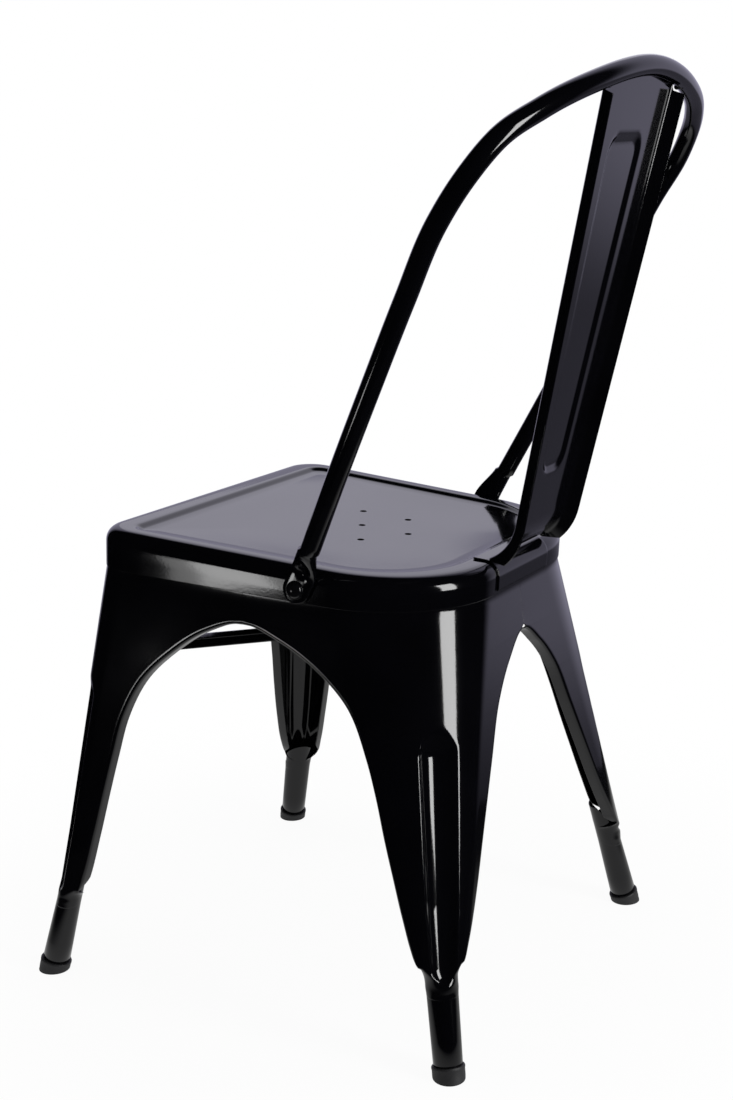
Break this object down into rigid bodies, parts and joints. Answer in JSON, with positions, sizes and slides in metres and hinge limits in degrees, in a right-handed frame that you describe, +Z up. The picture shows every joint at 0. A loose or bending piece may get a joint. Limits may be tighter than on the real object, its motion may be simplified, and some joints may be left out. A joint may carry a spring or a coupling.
{
  "type": "metal bistro chair",
  "caption": "Pressed sheet-steel dining chair with fluted legs, drained seat, bent tube back and central splat.",
  "frame": {"origin": "on the floor under the middle of the chair's bounding box", "axes": "+Z up, the sitter faces -Y, +X is the sitter's left"},
  "size_m": [0.4514, 0.5406, 0.8622],
  "materials": {
    "enamel": "gloss",
    "dark_steel": "gloss",
    "rubber": "matte"
  },
  "bodies": {
    "root": {"seat_pan": "enamel", "left_front_leg": "enamel", "right_front_leg": "enamel", "left_rear_leg": "enamel", "right_rear_leg": "enamel", "back_hoop": "enamel", "back_splat": "enamel", "splat_foot_plate": "enamel", "upper_brace": "enamel", "lower_brace": "enamel", "hoop_bolts": "dark_steel", "hoop_washers": "dark_steel", "hoop_nuts": "dark_steel", "left_front_foot_cap": "rubber", "right_front_foot_cap": "rubber", "left_rear_foot_cap": "rubber", "right_rear_foot_cap": "rubber"}
  },
  "joints": []
}
